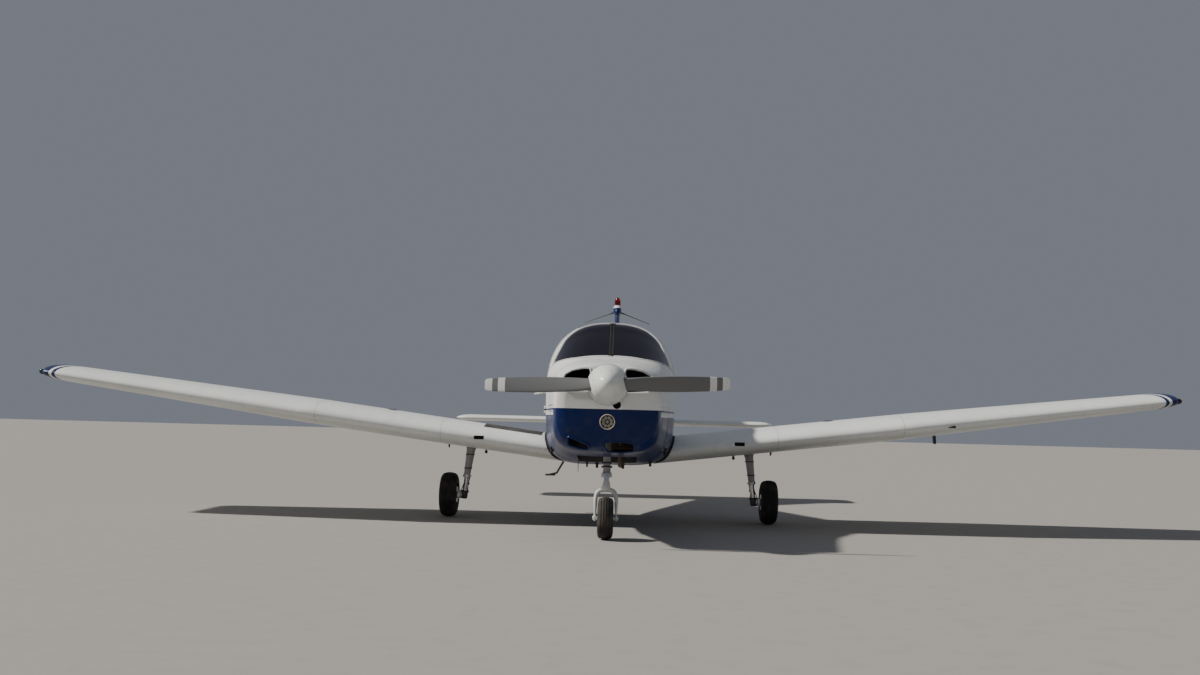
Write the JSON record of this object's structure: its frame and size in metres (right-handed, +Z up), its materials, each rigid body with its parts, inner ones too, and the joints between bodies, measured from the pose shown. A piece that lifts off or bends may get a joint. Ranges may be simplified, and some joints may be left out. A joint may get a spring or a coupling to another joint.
{
  "type": "light aircraft",
  "caption": "Single-engine low-wing light aircraft with a fixed tricycle landing gear, a door over the wing, a tapered wing and an all-moving tailplane, parked on its wheels.",
  "frame": {"origin": "on the ground below the middle of the aircraft's box", "axes": "+X towards the port (left) wing tip, +Y towards the tail, +Z up"},
  "size_m": [10.67, 7.254, 2.476],
  "materials": {
    "white_paint": "gloss paint over riveted sheet",
    "blue_paint": "gloss dark blue paint",
    "wing_sheet": "white gloss paint on aluminium sheet",
    "fin_sheet": "dark blue gloss paint on aluminium sheet",
    "tinted_glazing": "clear tinted glazing, 7 mm",
    "bare_metal": "satin bare metal",
    "leg_metal": "satin steel",
    "engine_metal": "plain block",
    "tyre_rubber": "matt",
    "seat_cloth": "woven",
    "black_plastic": "matt",
    "red_lens": "gloss lens"
  },
  "bodies": {
    "airframe": {"cabin_side_port": "white_paint", "cabin_side_starboard": "white_paint", "cabin_roof": "white_paint", "scuttle": "white_paint", "cabin_belly": "white_paint", "windscreen_post": "black_plastic", "windscreen_port": "tinted_glazing", "windscreen_starboard": "tinted_glazing", "front_window_port": "tinted_glazing", "rear_window_port": "tinted_glazing", "rear_window_starboard": "tinted_glazing", "baggage_bulkhead": "bare_metal", "firewall": "bare_metal", "cowl_top": "white_paint", "cowl_bottom": "blue_paint", "landing_lamp": "bare_metal", "engine_block": "engine_metal", "exhaust_pipe": "leg_metal", "tail_cone": "blue_paint", "fin": "fin_sheet", "fin_tip": "fin_sheet", "nav_aerial": "black_plastic", "beacon": "red_lens", "wing_port": "wing_sheet", "wing_starboard": "wing_sheet", "main_leg_port": "leg_metal", "main_leg_starboard": "leg_metal", "nose_strut": "leg_metal", "instrument_panel": "black_plastic", "front_seat_port": "seat_cloth", "front_seat_starboard": "seat_cloth", "rear_bench": "seat_cloth", "boarding_step": "black_plastic"},
    "propeller": {"spinner": "white_paint", "propeller_blades": "bare_metal"},
    "nose_fork": {"nose_fork": "leg_metal"},
    "nose_wheel": {"nose_rim": "bare_metal", "nose_tyre": "tyre_rubber"},
    "main_wheel_port": {"main_rim_port": "bare_metal", "main_tyre_port": "tyre_rubber"},
    "main_wheel_starboard": {"main_rim_starboard": "bare_metal", "main_tyre_starboard": "tyre_rubber"},
    "cabin_door": {"cabin_door": "white_paint", "door_window": "tinted_glazing"},
    "baggage_door": {"baggage_door": "white_paint"},
    "flap_port": {"flap_port": "wing_sheet"},
    "flap_starboard": {"flap_starboard": "wing_sheet"},
    "aileron_port": {"aileron_port": "wing_sheet"},
    "aileron_starboard": {"aileron_starboard": "wing_sheet"},
    "rudder": {"rudder": "fin_sheet"},
    "stabilator": {"stabilator": "wing_sheet"},
    "trim_tab": {"trim_tab": "wing_sheet"}
  },
  "joints": [
    {"name": "propeller_spin", "type": "hinge", "parent": "airframe", "child": "propeller", "pos_m": [0, -3.416, 1.232], "axis": [0, 1, 0], "continuous": true},
    {"name": "nose_steering", "type": "hinge", "parent": "airframe", "child": "nose_fork", "pos_m": [0, -2.671, 0.3], "axis": [0, 0.1392, 0.9903], "range_deg": [-30, 30]},
    {"name": "nose_wheel_spin", "type": "hinge", "parent": "nose_fork", "child": "nose_wheel", "pos_m": [0, -2.696, 0.1725], "axis": [1, 0, 0], "continuous": true},
    {"name": "main_wheel_spin_port", "type": "hinge", "parent": "airframe", "child": "main_wheel_port", "pos_m": [1.53, -0.671, 0.21], "axis": [1, 0, 0], "continuous": true},
    {"name": "main_wheel_spin_starboard", "type": "hinge", "parent": "airframe", "child": "main_wheel_starboard", "pos_m": [-1.53, -0.671, 0.21], "axis": [1, 0, 0], "continuous": true},
    {"name": "cabin_door_hinge", "type": "hinge", "parent": "airframe", "child": "cabin_door", "pos_m": [-0.591, -1.431, 1.17], "axis": [0, 0, 1], "range_deg": [-3, 77]},
    {"name": "baggage_door_hinge", "type": "hinge", "parent": "airframe", "child": "baggage_door", "pos_m": [-0.566, -0.126, 1.07], "axis": [0, 0, 1], "range_deg": [0, 80]},
    {"name": "flap_hinge_starboard", "type": "hinge", "parent": "airframe", "child": "flap_starboard", "pos_m": [-0.66, -0.20923, 0.67134], "axis": [-0.9925, 0, 0.1219], "range_deg": [0, 40]},
    {"name": "flap_hinge_port", "type": "hinge", "parent": "airframe", "child": "flap_port", "pos_m": [0.66, -0.20923, 0.67134], "axis": [-0.9925, 0, -0.1219], "range_deg": [0, 40]},
    {"name": "aileron_hinge_starboard", "type": "hinge", "parent": "airframe", "child": "aileron_starboard", "pos_m": [-2.712, -0.20971, 0.92351], "axis": [0.99, 0.0402, -0.1351], "range_deg": [-15, 30]},
    {"name": "aileron_hinge_port", "type": "hinge", "parent": "airframe", "child": "aileron_port", "pos_m": [2.712, -0.20971, 0.92351], "axis": [0.99, -0.0402, 0.1351], "range_deg": [-15, 30]},
    {"name": "rudder_hinge", "type": "hinge", "parent": "airframe", "child": "rudder", "pos_m": [0, 3.004, 1.262], "axis": [0, 0.1659, 0.9861], "range_deg": [-27, 27]},
    {"name": "stabilator_pivot", "type": "hinge", "parent": "airframe", "child": "stabilator", "pos_m": [0, 3.084, 0.936], "axis": [1, 0, 0], "range_deg": [-2, 14]},
    {"name": "trim_tab_hinge", "type": "hinge", "parent": "stabilator", "child": "trim_tab", "pos_m": [0, 3.52018, 0.936], "axis": [1, 0, 0], "range_deg": [-3, 12]}
  ],
  "couplings": [
    {"joint": "flap_hinge_port", "follows": "flap_hinge_starboard", "ratio": 1},
    {"joint": "trim_tab_hinge", "follows": "stabilator_pivot", "ratio": 0.8}
  ]
}
